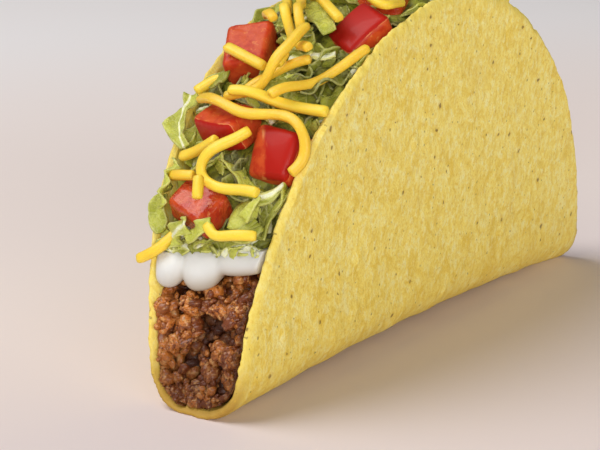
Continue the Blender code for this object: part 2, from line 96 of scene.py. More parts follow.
class Paint:
    # one material and the nodes that colour it
    def __init__(self, name, colours=None, **constants):
        self.colours = colours
        self.material = bpy.data.materials.new(name)
        self.material.use_nodes = True
        self.tree = self.material.node_tree
        self.shader = self.tree.nodes["Principled BSDF"]
        for socket, value in constants.items():
            self.shader.inputs[socket.replace("_", " ")].default_value = value
        self.place = self.node("ShaderNodeTexCoord", output="Object")

    def node(self, kind, settings=None, sockets=None, output=0):
        made = self.tree.nodes.new(kind)
        for setting, value in (settings or {}).items():
            setattr(made, setting, value)
        for socket, value in (sockets or {}).items():
            if isinstance(value, Wire):
                self.tree.links.new(value.socket, made.inputs[socket])
            else:
                made.inputs[socket].default_value = value
        return Wire(self, made.outputs[output])

    def stretched(self, sizes):
        # object coordinates counted in cells of that size, or of these three, in mm
        if isinstance(sizes, float):
            sizes = (sizes, sizes, sizes)
        scale = [1.0 / (size * mm) for size in sizes]
        return self.node("ShaderNodeMapping", None, {"Vector": self.place, "Scale": scale})

    def cloud(self, sizes, detail=2.0, roughness=0.5, twist=0.0):
        sockets = {"Vector": self.stretched(sizes), "Scale": 1.0, "Detail": detail}
        sockets.update({"Roughness": roughness, "Distortion": twist})
        return self.node("ShaderNodeTexNoise", None, sockets)

    def between(self, value, low, high, bottom=0.0, top=1.0):
        return self.node(
            "ShaderNodeMapRange",
            {"interpolation_type": "SMOOTHSTEP"},
            {"Value": value, "From Min": low, "From Max": high, "To Min": bottom, "To Max": top},
        )

    def blend(self, share, first, second):
        # colours 6 and 7 of the Mix node, which gives a colour as its third output
        made = self.tree.nodes.new("ShaderNodeMix")
        made.data_type = "RGBA"
        for socket, value in ((0, share), (6, first), (7, second)):
            value = self.colours[value] if isinstance(value, str) else value
            if isinstance(value, Wire):
                self.tree.links.new(value.socket, made.inputs[socket])
            else:
                made.inputs[socket].default_value = value if socket == 0 else (*value, 1.0)
        return Wire(self, made.outputs[2])

    def coats(self, colour, *coats):
        # colours laid over a first one, each by its share
        for share, name in coats:
            colour = self.blend(share, colour, name)
        return colour

    def layer(self, name):
        # a number kept on the mesh
        return self.node("ShaderNodeAttribute", {"attribute_name": name}, None, "Fac")

    def bump(self, height, distance, strength=1.0, under=None):
        sockets = {"Height": height, "Distance": distance * mm, "Strength": strength}
        if under:
            sockets["Normal"] = under
        return self.node("ShaderNodeBump", None, sockets)

    def shifted(self, bend, reach, where):
        # coordinates moved by a colour, up to that reach
        sockets = {0: bend, 1: (reach, reach, reach), 2: where}
        return self.node("ShaderNodeVectorMath", {"operation": "MULTIPLY_ADD"}, sockets)

    def net(self, size, width):
        # the lines of a fine net, bent a little
        sockets = {"Vector": self.place, "Scale": 0.5 / (size * mm)}
        bend = self.node("ShaderNodeTexNoise", None, sockets, "Color")
        bent = self.shifted(bend, size * mm, self.place)
        sockets = {"Vector": bent, "Scale": 1.0 / (size * mm)}
        away = self.node("ShaderNodeTexVoronoi", {"feature": "DISTANCE_TO_EDGE"}, sockets, "Distance")
        return self.between(away, width / size, 0.0)

    def specks(self, sizes, radius, rarity):
        # small dots in some of the cells, which lie in the plane of X and Z
        scale = [1.0 / (size * mm) for size in sizes]
        turned = {"Vector": self.place, "Scale": scale, "Rotation": (math.pi / 2.0, 0.0, 0.0)}
        where = self.node("ShaderNodeMapping", None, turned)
        sockets = {"Vector": where, "Scale": 4.0, "Detail": 1.0}
        wobble = self.node("ShaderNodeTexNoise", None, sockets, "Color")
        bent = self.shifted(wobble, 0.22, where)
        made = self.tree.nodes.new("ShaderNodeTexVoronoi")
        made.voronoi_dimensions = "2D"
        self.tree.links.new(bent.socket, made.inputs["Vector"])
        made.inputs["Scale"].default_value = 1.0
        distance, colour = Wire(self, made.outputs["Distance"]), Wire(self, made.outputs["Color"])
        chance = self.node("ShaderNodeSeparateColor", None, {"Color": colour}, "Red")
        size = self.node("ShaderNodeSeparateColor", None, {"Color": colour}, "Green")
        dot = self.between(distance / (size + 0.4), radius, radius * 0.4)
        return dot * (chance > rarity)

    def feed(self, socket, value):
        self.tree.links.new(value.socket, self.shader.inputs[socket])


# Pieces

def keepPiece(name, bm, paint, nodes):
    mesh = bpy.data.meshes.new(name)
    bm.to_mesh(mesh)
    bm.free()
    mesh.materials.append(paint.material)
    mesh.shade_smooth()
    piece = bpy.data.objects.new(name, mesh)
    bpy.context.scene.collection.objects.link(piece)
    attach(piece, "root")
    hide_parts(*nodes)
    print(f"{name}: {len(mesh.polygons)} faces")
    return piece


def modified(bm, kind, **settings):
    # the mesh put through one modifier
    mesh = bpy.data.meshes.new("helper")
    bm.to_mesh(mesh)
    bm.free()
    helper = bpy.data.objects.new("helper", mesh)
    bpy.context.scene.collection.objects.link(helper)
    modifier = helper.modifiers.new(kind, kind)
    for setting, value in settings.items():
        setattr(modifier, setting, value)
    made = bpy.data.meshes.new_from_object(helper.evaluated_get(bpy.context.evaluated_depsgraph_get()))
    bpy.data.objects.remove(helper)
    bm = bmesh.new()
    bm.from_mesh(made)
    return bm


def joinTo(joined, bm):
    # adds a finished mesh to another
    mesh = bpy.data.meshes.new("part")
    bm.to_mesh(mesh)
    bm.free()
    joined.from_mesh(mesh)
    bpy.data.meshes.remove(mesh)


def newLayers(bm, *names):
    # numbers kept on the vertices
    return [bm.verts.layers.float.new(name) for name in names]


def gridCube(cuts, *layers):
    # a cube from -1 to 1 with its sides cut into a grid, and its layers
    bm = bmesh.new()
    made = newLayers(bm, *layers)
    bmesh.ops.create_cube(bm, size=2.0)
    bmesh.ops.subdivide_edges(bm, edges=bm.edges, cuts=cuts, use_grid_fill=True)
    return bm, *made


def smoothed(bm, rounds):
    axes = {"use_axis_x": True, "use_axis_y": True, "use_axis_z": True}
    for _ in range(rounds):
        bmesh.ops.smooth_vert(bm, verts=bm.verts, factor=0.5, **axes)
    bm.normal_update()


def nodesNamed(start):
    return sorted(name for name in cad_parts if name.startswith(start))


def nodeMesh(name):
    bm = bmesh.new()
    bm.from_mesh(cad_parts[name].data)
    bmesh.ops.remove_doubles(bm, verts=bm.verts, dist=0.01 * mm)
    return bm


def nodeTree(*names):
    bm = bmesh.new()
    for name in names:
        bm.from_mesh(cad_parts[name].data)
    tree = BVHTree.FromBMesh(bm)
    bm.free()
    return tree


def barCourse(name, step):
    # centres, sides and outward directions along a node that is a bent bar
    bm = nodeMesh(name)
    bmesh.ops.join_triangles(bm, faces=bm.faces, angle_face_threshold=0.6, angle_shape_threshold=3.1)
    cap = next(face for face in bm.faces if all(len(vert.link_edges) == 3 for vert in face.verts))
    ring = list(cap.verts)
    seen = set(ring)
    rings = [ring]
    while len(seen) < len(bm.verts):
        ring = [next(e.other_vert(v) for e in v.link_edges if e.other_vert(v) not in seen) for v in ring]
        seen.update(ring)
        rings.append(ring)
    corners = [[vert.co.copy() for vert in ring] for ring in rings]
    bm.free()
    centres = [sum(four, Vector()) / 4.0 for four in corners]
    spans = [[b + c - a - d for a, b, c, d in corners], [c + d - b - a for a, b, c, d in corners]]
    spans.sort(key=lambda row: sum(span.length for span in row))
    thick, wide = spans
    outward = sum(span.dot(Vector((centre.x, 0.0, centre.z))) for span, centre in zip(thick, centres))
    turn = 1.0 if outward > 0.0 else -1.0
    frames = [(c, s.normalized(), turn * o.normalized()) for c, s, o in zip(centres, wide, thick)]
    return smoothCourse(frames, step)


courseRounds = 8  # times that a course is evened


def evened(vectors, rounds):
    # the same row of vectors with its kinks taken out
    for _ in range(rounds):
        inner = [(a + 2.0 * b + c) / 4.0 for a, b, c in zip(vectors, vectors[1:], vectors[2:])]
        vectors = [vectors[0], *inner, vectors[-1]]
    return vectors


def smoothCourse(frames, step):
    # the same course with a frame at about every step
    found = []
    last = len(frames) - 1
    for k in range(last):
        a, b, c, d = (frames[min(max(j, 0), last)] for j in (k - 1, k, k + 1, k + 2))
        count = max(round((c[0] - b[0]).length / step), 1)
        for part in range(count):
            t = part / count
            centre = 0.5 * (
                2.0 * b[0]
                + (c[0] - a[0]) * t
                + (2.0 * a[0] - 5.0 * b[0] + 4.0 * c[0] - d[0]) * t**2
                + (3.0 * (b[0] - c[0]) + d[0] - a[0]) * t**3
            )
            found.append((centre, mix(b[1], c[1], t), mix(b[2], c[2], t)))
    found.append(frames[last])
    found = list(zip(*(evened(list(vectors), courseRounds) for vectors in zip(*found))))
    course = []
    for k, (centre, side, out) in enumerate(found):
        ahead = (found[min(k + 1, len(found) - 1)][0] - found[max(k - 1, 0)][0]).normalized()
        side = (side - ahead * side.dot(ahead)).normalized()
        course.append((centre, side, side.cross(ahead) * (1.0 if side.cross(ahead).dot(out) > 0.0 else -1.0)))
    return course


# The shell's shape, in metres from the middle of the fold before its foot is worn flat

shellShape = {
    "halfLength": 71.4 * mm,
    "rimReach": 77.6 * mm,
    "rimPower": 1.92,
    "thickness": 1.9 * mm,
    "foldFlat": 1.8 * mm,
    "foldRadius": 8.3 * mm,
    "radiusChange": -0.05,
    "foldArch": 2.5 * mm,
    "nearLean": (5.7, 1.4),
    "farLean": (10.2, -3.7),
    "settle": Vector((0.0, -2.6 * mm, -0.7 * mm)),
    "rimWave": 0.5 * mm,
    "ragged": 0.35 * mm,
    "blister": 0.22 * mm,
    "grain": 0.07 * mm,
    "rimThin": 0.5,
    "rimRound": 0.35 * mm,
    "cells": (196, 212),
    "rimStart": 0.8,  # share of the half length at which the search for the rim starts
    "rimRounds": 8,
}

# the heap's rim, in mm from the foot: at its ends and at its top, and the angle where it starts to rise
rimArc = {"ends": 69.5, "top": 74.2, "from": 30.0, "round": 1.5}


def foldAt(x, side):
    along = x / shellShape["halfLength"]
    middle, change = shellShape["nearLean" if side < 0.0 else "farLean"]
    turn = math.radians(90.0 - middle - change * along)
    radius = shellShape["foldRadius"] * (1.0 + shellShape["radiusChange"] * along)
    return radius, turn, shellShape["foldArch"] * (1.0 - along * along)


def shellSpot(x, reach, out):
    radius, turn, rise = foldAt(x, reach)
    up, flat = abs(reach), shellShape["foldFlat"]
    angle = min(max((up - flat) / radius, 0.0), turn)
    straight = max(up - flat - radius * turn, 0.0)
    y = min(up, flat) + (radius + out) * math.sin(angle) + straight * math.cos(turn)
    z = radius - (radius + out) * math.cos(angle) + straight * math.sin(turn)
    spot = Vector((x, math.copysign(y, reach), z + shellShape["thickness"] / 2.0 + rise))
    return spot + shellShape["settle"]


def wallY(x, z, side, gap=0.0):
    # how far from the middle of the fold the food side of a wall lies, with x and z in the frame
    radius, turn, rise = foldAt(x, side)
    z -= shellShape["settle"].z
    inner = radius - shellShape["thickness"] / 2.0 - gap
    centre = radius + shellShape["thickness"] / 2.0 + rise
    tangent = centre - inner * math.cos(turn)
    if z < tangent:
        return shellShape["foldFlat"] + math.sqrt(max(inner * inner - (centre - z) ** 2, 0.0))
    return shellShape["foldFlat"] + inner * math.sin(turn) + (z - tangent) / math.tan(turn)


def across(x, z, place, gap=0.0):
    # y of a place between the walls, from -1 at the near one to 1 at the far one
    near, far = wallY(x, z, -1.0, gap), wallY(x, z, 1.0, gap)
    return mix(-near, far, (place + 1.0) / 2.0) + shellShape["settle"].y


def rimX(z, side, end):
    # how far from the middle the rim of a wall lies at a height
    x = end * shellShape["halfLength"] * shellShape["rimStart"]
    half = shellShape["thickness"] / 2.0
    for _ in range(shellShape["rimRounds"]):
        radius, turn, rise = foldAt(x, side)
        height = z - shellShape["settle"].z - rise - half
        above = height - radius * (1.0 - math.cos(turn))
        if above > 0.0:
            reach = shellShape["foldFlat"] + radius * turn + above / math.sin(turn)
        else:
            reach = shellShape["foldFlat"] + radius * math.acos(min(max(1.0 - height / radius, -1.0), 1.0))
        share = min(max(reach / shellShape["rimReach"], 0.0), 1.0)
        power = shellShape["rimPower"]
        x = end * shellShape["halfLength"] * (1.0 - share**power) ** (1.0 / power)
    return abs(x)


def endX(z, place, end):
    return mix(rimX(z, -1.0, end), rimX(z, 1.0, end), (place + 1.0) / 2.0)


def rimRadius(angle):
    rise = max(min(angle, 180.0 - angle) - rimArc["from"], 0.0) / (90.0 - rimArc["from"])
    return mix(rimArc["ends"], rimArc["top"], rise ** rimArc["round"]) * mm


def polar(angle, radius, y):
    # point at an angle up from the near end of the fold, round the Y axis through the fold's foot
    turn = math.radians(angle)
    return Vector((-radius * math.cos(turn), y, radius * math.sin(turn))) + shellShape["settle"]


# Shell

def shellSide(bm, side, edgeLayer, acrossLayer):
    # one face of the shell, in a square grid drawn out to a round sheet
    cells = shellShape["cells"]
    made = bmesh.ops.create_grid(bm, x_segments=cells[0], y_segments=cells[1], size=1.0)
    power = 2.0 / shellShape["rimPower"] - 1.0
    for vert in made["verts"]:
        a, b, _ = vert.co
        along, up = a * math.sqrt(1.0 - b * b / 2.0), b * math.sqrt(1.0 - a * a / 2.0)
        x = shellShape["halfLength"] * along * abs(along) ** power
        reach = shellShape["rimReach"] * up * abs(up) ** power
        edge = max(abs(a), abs(b))
        wave = noise.noise(Vector((5.0 * a, 2.0 * b, 3.0)))
        reach += shellShape["rimWave"] * edge**6 * ease(0.2, 0.5, abs(b)) * wave
        flat = Vector((x, reach, 0.0))
        ragged, half = shellShape["ragged"], shellShape["halfLength"]
        spread = 1.0 + ragged * rough(flat, 1.7 * mm, 4.0) * edge**30 / half
        spread += 0.5 * ragged * rough(flat, 0.8 * mm, 9.0) * edge**30 / half
        lift = shellShape["blister"] * (rough(flat, 9.0 * mm, 1.0) + 0.5 * rough(flat, 4.0 * mm, 2.0))
        lift += shellShape["blister"] * 1.3 * ease(0.45, 0.75, rough(flat, 6.0 * mm, 3.0))
        out = side * shellShape["thickness"] / 2.0 * (1.0 - shellShape["rimThin"] * ease(0.982, 1.0, edge))
        vert.co = shellSpot(x * spread, reach * spread, out + lift)
        vert[edgeLayer] = edge**24
        vert[acrossLayer] = side


def makeShell():
    bm = bmesh.new()
    edgeLayer, acrossLayer = newLayers(bm, "edge", "across")
    for side in (1.0, -1.0):
        shellSide(bm, side, edgeLayer, acrossLayer)
    rim = [edge for edge in bm.edges if edge.is_boundary]
    bridged = bmesh.ops.bridge_loops(bm, edges=rim)
    cross = [edge for edge in bridged["edges"] if edge not in rim]
    bmesh.ops.subdivide_edges(bm, edges=cross, cuts=3, use_grid_fill=True)
    for vert in bm.verts:
        outward = Vector((vert.co.x, 0.0, vert.co.z)).normalized()
        vert.co += outward * shellShape["rimRound"] * (1.0 - vert[acrossLayer] ** 2)
    bmesh.ops.recalc_face_normals(bm, faces=bm.faces)
    if bm.calc_volume(signed=True) < 0.0:
        bmesh.ops.reverse_faces(bm, faces=bm.faces)
    bm.normal_update()
    for vert in bm.verts:
        grain = rough(vert.co, 1.1 * mm, 5.0) + 0.6 * rough(vert.co, 0.55 * mm, 6.0)
        vert.co += vert.normal * grain * shellShape["grain"] * (1.0 + 1.5 * vert[edgeLayer])
    for vert in bm.verts:
        vert.co.z = max(vert.co.z, 0.0)
    return keepPiece("tacoShell", bm, paintShell(), ["shell"])


shellColours = {
    "crumb": (0.95, 0.765, 0.17),
    "golden": (0.85, 0.61, 0.085),
    "pale": (0.96, 0.89, 0.40),
    "toastAndShade": (0.76, 0.48, 0.05),
    "speck": (0.17, 0.095, 0.02),
    "rim": (0.92, 0.72, 0.13),
    "underRimToastAndShade": (0.44, 0.25, 0.035),
}


def paintShell():
    paint = Paint("crispCorn", shellColours, Roughness=0.6, Specular_IOR_Level=0.3)
    patches = paint.cloud((3.2, 4.2, 4.4), 3.0, 0.65, 0.8)
    streaks = paint.cloud((1.0, 1.7, 1.8), 3.0, 0.6, 0.6)
    grain = paint.cloud((0.42, 0.46, 0.5), 2.0, 0.7)
    wide = paint.cloud(17.0, 2.0, 0.5)
    edge = paint.between(paint.layer("edge"), 0.3, 0.9)
    height = paint.node("ShaderNodeSeparateXYZ", None, {"Vector": paint.place}, "Z")
    colour = paint.coats(
        paint.blend(paint.between(patches, 0.47, 0.66), "crumb", "golden"),
        (paint.between(patches, 0.47, 0.32) * 0.5, "pale"),
        (paint.between(streaks, 0.50, 0.66) * 0.65, "pale"),
        (paint.between(streaks, 0.49, 0.34) * 0.6, "golden"),
        (paint.between(wide, 0.55, 0.75) * 0.3, "toastAndShade"),
        (paint.between(grain, 0.53, 0.68) * 0.3, "pale"),
        (paint.between(grain, 0.46, 0.32) * 0.5, "toastAndShade"),
        (edge * 0.5, "rim"),
        # painted shade: darker towards the bottom of the shell
        (paint.between(height, 26.0 * mm, 4.0 * mm) * 0.2, "toastAndShade"),
        # painted shade, partly toast: the rim's cut edge near the bottom, which faces down, painted dark
        # brown
        (paint.between(height, 13.0 * mm, 2.0 * mm) * edge * 0.95, "underRimToastAndShade"),
        (paint.specks((5.5, 5.5, 6.2), 0.17, 0.75) * 0.35, "toastAndShade"),
        (paint.specks((5.5, 5.5, 6.2), 0.08, 0.75) * 0.8, "speck"),
        (paint.specks((2.7, 2.7, 3.0), 0.09, 0.72) * 0.6, "speck"),
        (paint.specks((1.3, 1.3, 1.7), 0.2, 0.55) * 0.4, "toastAndShade"),
    )
    paint.feed("Base Color", colour)
    relief = paint.bump(patches, 0.25, 0.6)
    relief = paint.bump(streaks, 0.16, 0.8, relief)
    paint.feed("Normal", paint.bump(grain, 0.1, 0.9, relief))
    return paint


makeShell()


# Meat

meatHeap = {
    "top": 26.6 * mm,
    "slope": 1.5 * mm,
    "inset": -0.1 * mm,
    "shoulder": 3.2 * mm,
    "lumpSize": 4.0 * mm,
    "hollow": 4.0 * mm,
    "coreDrop": 1.0 * mm,
    "cells": 71,
    "grain": 0.45 * mm,
    "clumps": 125,
    "borderClumps": 60,
    "clumpReach": (0.10, 0.075),
    "granules": (4, 8),
    "radii": (0.4, 1.5),
    "crumbGap": 0.15 * mm,
    "seed": 3,
}


meatLayers = ("tone", "deep", "grease")


def floorZ(x, gap=0.4 * mm):
    rise = shellShape["foldArch"] * (1.0 - (x / shellShape["halfLength"]) ** 2)
    return shellShape["thickness"] + gap + rise + shellShape["settle"].z


def meatSpot(end, place, height, inward, gap):
    # on an end of the heap, at a place across, a share of its height and a depth inwards
    top = meatHeap["top"] - meatHeap["slope"] * place + shellShape["settle"].z
    z = mix(floorZ(end * shellShape["halfLength"]), top, height)
    inset = meatHeap["inset"] + meatHeap["shoulder"] * ease(0.7, 1.0, height) + inward
    x = end * (endX(z, place, end) - inset)
    z = mix(floorZ(x, gap), top, height)
    return Vector((x, across(x, z, place, gap), z))


def meatHollow(spot):
    # how deep the gaps between the lumps of the heap's end are there
    apart = noise.voronoi(spot / meatHeap["lumpSize"])[0][0]
    return meatHeap["hollow"] * ease(0.15, 0.8, apart) + 0.5 * mm * rough(spot, 2.0 * mm, 7.0)


def meatShades(spot, hollow):
    # painted shade from how deep in a gap it lies, how low and how near the near wall; and how greasy it is
    # there
    low = 0.55 * ease(16.0 * mm, 6.0 * mm, spot.z)
    wall = 0.75 * ease(2.4 * mm, 0.7 * mm, spot.y - across(spot.x, spot.z, -1.0))
    gap = ease(0.4, 0.95, hollow / meatHeap["hollow"])
    return max(gap, low, wall) + 0.2 * min(gap, max(low, wall)), ease(4.0 * mm, 11.0 * mm, spot.y)


def makeMeatCore():
    bm, tone, deep, grease = gridCube(meatHeap["cells"], *meatLayers)
    for vert in bm.verts:
        u, v, w = vert.co
        end = math.copysign(1.0, u)
        height = (w + 1.0) / 2.0
        face = meatSpot(end, v, height, 0.0, 0.5 * mm)
        inner = 1.0 - 0.9 * max(abs(v) ** 4, (1.0 - height) ** 9)
        hollow = meatHollow(face) * inner
        grains = noise.voronoi(face / (1.3 * mm))[0][0] + 0.5 * noise.voronoi(face / (0.7 * mm))[0][0]
        drop = meatHeap["coreDrop"] * inner + hollow + meatHeap["grain"] * (grains - 0.5)
        spot = meatSpot(end, v, height, drop, 0.4 * mm)
        # towards the middle the fold arches, and the heap's underside rises with it
        x = spot.x * abs(u)
        z = spot.z + (floorZ(x) - floorZ(spot.x)) * (1.0 - height)
        vert.co = Vector((x, across(x, z, v, 0.4 * mm), z))
        vert[tone] = 0.5 + 0.6 * rough(face, 1.5 * mm, 2.0)
        # painted shade: the core is painted as if 1.6 mm deeper in its gaps, so darker than the crumbs
        vert[deep], vert[grease] = meatShades(spot, hollow + 1.6 * mm)
    bmesh.ops.recalc_face_normals(bm, faces=bm.faces)
    return keepPiece("meatCore", bm, paintMeat(), ["meat"])


meatColours = {
    "dark": (0.035, 0.008, 0.003),
    "brown": (0.20, 0.048, 0.012),
    "orange": (0.62, 0.195, 0.03),
    "tan": (0.80, 0.45, 0.17),
}


def paintMeat():
    paint = Paint("mincedMeat", meatColours, Specular_IOR_Level=0.22, Coat_Roughness=0.08)
    tone, deep, grease = (paint.layer(name) for name in meatLayers)
    spots = paint.cloud(1.1, 3.0, 0.65, 0.5)
    fine = paint.cloud(0.35, 2.0, 0.65)
    colour = paint.coats(
        paint.blend(paint.between(tone + (spots - 0.5), 0.25, 0.8), "brown", "orange"),
        (paint.between(spots + tone * 0.12, 0.58, 0.74) * 0.75, "tan"),
        # painted shade, partly the meat's own dark bits: darker in the dips of the fine bump
        (paint.between(fine, 0.48, 0.32) * 0.65, "dark"),
        (grease * 0.55, "orange"),
        # painted shade: dark where it lies in a gap, low down or by the near wall
        (deep * 0.9, "dark"),
    )
    paint.feed("Base Color", colour)
    paint.feed("Roughness", paint.between(spots, 0.35, 0.65, 0.25, 0.5))
    paint.feed("Coat Weight", paint.between(deep, 0.0, 0.9, 0.5, 0.12))
    paint.feed("Normal", paint.bump(fine, 0.22, 1.0, paint.bump(spots, 0.3, 0.9)))
    return paint


def keptInside(spot, gap):
    # the same spot, moved to the food side of the walls where it lies in them
    x = min(max(spot.x, -shellShape["halfLength"]), shellShape["halfLength"])
    z = max(spot.z, floorZ(x, gap))
    y = min(max(spot.y, across(x, z, -1.0, gap)), across(x, z, 1.0, gap))
    return Vector((spot.x, y, z))


def makeMeatCrumbs():
    rng = random.Random(meatHeap["seed"])
    ball = bmesh.new()
    bmesh.ops.create_icosphere(ball, subdivisions=2, radius=1.0)
    newLayers(ball, *meatLayers)
    template = bpy.data.meshes.new("granule")
    ball.to_mesh(template)
    ball.free()
    joined = bmesh.new()
    for end in (-1.0, 1.0):
        for number in range(meatHeap["clumps"] + meatHeap["borderClumps"]):
            place, height, shade = rng.uniform(-1.0, 1.0), rng.random(), rng.random()
            border = number < meatHeap["borderClumps"]
            if border:
                place, height = rng.choice(((1.0, height), (-1.0, height), (place, 0.0)))
            clump = bmesh.new()
            for _ in range(rng.randint(*meatHeap["granules"])):
                radius = mix(*meatHeap["radii"], rng.random() ** 1.5) * mm * (0.8 if border else 1.0)
                v = min(max(place + rng.gauss(0.0, meatHeap["clumpReach"][0]), -1.0), 1.0)
                h = min(max(height + rng.gauss(0.0, meatHeap["clumpReach"][1]), 0.0), 0.97)
                hollow = meatHollow(meatSpot(end, v, h, 0.0, 0.5 * mm)) * (0.35 if border else 1.0)
                inward = hollow + radius * 0.6 + rng.uniform(-0.3, 0.5) * mm
                gap = meatHeap["crumbGap"] + 0.6 * radius
                spot = meatSpot(end, v, h, max(inward, radius * 0.8), gap)
                addGranule(clump, template, spot, radius, mix(shade, rng.random(), 0.4), hollow, rng)
            joinTo(joined, clump)
    return keepPiece("meatCrumbs", joined, paintMeat(), ["meat"])


def addGranule(clump, template, spot, radius, shade, hollow, rng):
    bm = bmesh.new()
    bm.from_mesh(template)
    tone, deep, grease = (bm.verts.layers.float[name] for name in meatLayers)
    sizes = [rng.uniform(0.65, 1.25) * radius for _ in range(3)]
    sizes[0] *= rng.choice((1.0, 1.0, 1.7))
    angle, axis = rng.uniform(0.0, math.tau), Vector([rng.gauss(0, 1) for _ in range(3)])
    turn = Matrix.Rotation(angle, 4, axis)
    own = rng.uniform(0.0, 90.0)
    for vert in bm.verts:
        large, small = vert.co * 0.9 + Vector((own, 0.0, own)), vert.co * 2.1 + Vector((0.0, own, 0.0))
        lump = noise.noise(large) + 0.6 * noise.noise(small)
        point = Vector(size * value for size, value in zip(sizes, vert.co)) * (1.0 + 0.42 * lump)
        vert.co = keptInside(turn @ point + spot, meatHeap["crumbGap"])
        vert[tone] = shade
        vert[deep], vert[grease] = meatShades(vert.co, hollow)
    joinTo(clump, bm)


makeMeatCore()
makeMeatCrumbs()


# Soured cream

creamLayer = {
    "bottom": 27.0 * mm,
    "top": 30.3 * mm,
    "slope": 1.5 * mm,
    "bulge": 2.1 * mm,
    "curtain": 0.95,
    "inset": 0.8 * mm,
    "cells": 59,
    "rounds": 3,  # times that it is smoothed
    # place across, half width and drop of each
    "lobes": ((0.75, 0.33, 3.2 * mm), (0.08, 0.42, 3.9 * mm), (-0.6, 0.5, 1.2 * mm)),
}


def creamLobe(place):
    # how far the cream hangs down there, and how full it is
    depth, full = 0.0, 0.1
    for middle, halfWidth, drop in creamLayer["lobes"]:
        off = abs(place - middle) / halfWidth
        if off < 1.0:
            depth = max(depth, drop * math.sqrt(1.0 - off * off))
            full = max(full, (1.0 - off**2.2) ** 0.5)
    return depth, max(full, 0.75 * ease(0.0, -0.25, place) * ease(-1.4, -0.8, place))


def makeCream():
    bm, underShade = gridCube(creamLayer["cells"], "underShade")
    for vert in bm.verts:
        u, v, w = vert.co
        u = math.copysign(1.0 - (1.0 - abs(u)) ** 1.8, u)
        end = math.copysign(1.0, u)
        height = (w + 1.0) / 2.0
        hang = ease(creamLayer["curtain"] - 0.02, 1.0, abs(u))
        depth, full = creamLobe(v)
        z = mix(creamLayer["bottom"] - hang * depth, creamLayer["top"], height)
        z += shellShape["settle"].z - creamLayer["slope"] * v
        swell = creamLayer["bulge"] * full * math.sqrt(1.0 - abs(min(w, 0.0)) ** 1.9)
        swell = swell * (1.0 - 0.35 * max(w, 0.0) ** 2) - creamLayer["inset"]
        x = u * endX(z, v, end) + end * hang * swell
        vert.co = Vector((x, across(x, z, v * 0.985, 0.2 * mm), z))
        # painted shade: the hanging cream is painted brown-grey towards its bottom, less towards the far wall
        vert[underShade] = hang * ease(0.62, -0.1, height) * (1.0 - 0.4 * ease(0.3, 0.8, v))
    bmesh.ops.recalc_face_normals(bm, faces=bm.faces)
    smoothed(bm, creamLayer["rounds"])
    for vert in bm.verts:
        vert.co += vert.normal * 0.12 * mm * rough(vert.co, 2.6 * mm, 8.0)
    return keepPiece("souredCream", bm, paintCream(), ["sour_cream"])


creamColours = {
    "light": (0.775, 0.77, 0.745),
    "dull": (0.735, 0.725, 0.69),
    "underShade": (0.42, 0.34, 0.24),
}


def paintCream():
    paint = Paint(
        "souredCream",
        creamColours,
        Roughness=0.33,
        Specular_IOR_Level=0.35,
        Subsurface_Weight=0.25,
        Subsurface_Scale=1.5 * mm,
        Subsurface_Radius=(1.0, 0.9, 0.75),
    )
    colour = paint.blend(paint.cloud(4.0), "light", "dull")
    # painted shade towards the bottom of the hanging cream
    paint.feed("Base Color", paint.blend(paint.layer("underShade"), colour, "underShade"))
    paint.feed("Normal", paint.bump(paint.cloud(1.2), 0.12, 0.4))
    return paint


makeCream()


# Lettuce

lettuceHeap = {
    "start": 26.4,
    "crown": 2.4 * mm,
    "edge": 2.6 * mm,
    "lump": 2.4 * mm,
    "lumpSize": 9.0 * mm,
    "coreDrop": 2.6 * mm,
    "thickness": 0.4 * mm,
    "seed": 11,
    # where it lies deeper and is painted darker, as painted shade: angle, mm across, mm round
    "hollows": (
        (37.8, 0.5, 5.0),
        (56.5, -9.6, 5.0),
        (44.5, -13.0, 3.0),
        (66.0, 12.0, 4.0),
        (98.0, 3.0, 5.0),
        (126.0, 9.0, 4.0),
    ),
    "halfWidth": 14.0,  # in mm, about half the way between the walls at the rim
    "cells": 43,
    "coreEnds": 1.2,  # degrees that the core stops short
}

leafKinds = {
    "leaves": {
        "count": 230, "byWalls": 44, "width": (4.5, 9.5), "length": (7.0, 16.0),
        "step": 0.8, "deep": (0.0, 2.4), "cell": 0.85,
    },
    "shreds": {
        "count": 330, "width": (1.4, 3.6), "length": (6.0, 17.0),
        "step": 1.2, "deep": (0.2, 2.2), "cell": 0.8,
    },
}


def heapRadius(angle, place):
    # outline of the heap, as in the frame
    point = polar(angle, rimRadius(angle), place * lettuceHeap["halfWidth"] * mm) - shellShape["settle"]
    lump = lettuceHeap["lump"] * noise.noise(point / lettuceHeap["lumpSize"])
    rise = ease(26.0, 52.0, min(angle, 180.0 - angle))
    return rimRadius(angle) + lettuceHeap["crown"] * rise - lettuceHeap["edge"] * place**4 + lump


def makeLettuceCore():
    bm, = gridCube(lettuceHeap["cells"])
    start, stop = lettuceHeap["start"], lettuceHeap["coreEnds"]
    for vert in bm.verts:
        u, v, w = vert.co
        angle = mix(start + stop, 180.0 - start - stop, (u + 1.0) / 2.0)
        base = (creamLayer["top"] + 0.1 * mm - creamLayer["slope"] * v) / math.sin(math.radians(angle))
        top = max(heapRadius(angle, v) - lettuceHeap["coreDrop"], base + 0.6 * mm)
        crumple = rough(polar(angle, top, v * lettuceHeap["halfWidth"] * mm), 3.2 * mm, 12.0)
        radius = mix(base, top, (w + 1.0) / 2.0) + (w + 1.0) * 0.7 * mm * abs(crumple)
        spot = polar(angle, radius, 0.0)
        spot.y = across(spot.x, spot.z, v * 0.93, 0.4 * mm)
        vert.co = spot
    bmesh.ops.recalc_face_normals(bm, faces=bm.faces)
    return keepPiece("lettuceCore", bm, paintLettuceCore(), ["lettuce"])


lettuceColours = {
    "dark": (0.085, 0.085, 0.012),
    "green": (0.29, 0.305, 0.026),
    "light": (0.59, 0.61, 0.085),
    "pale": (0.84, 0.83, 0.34),
    "rib": (0.88, 0.89, 0.60),
}


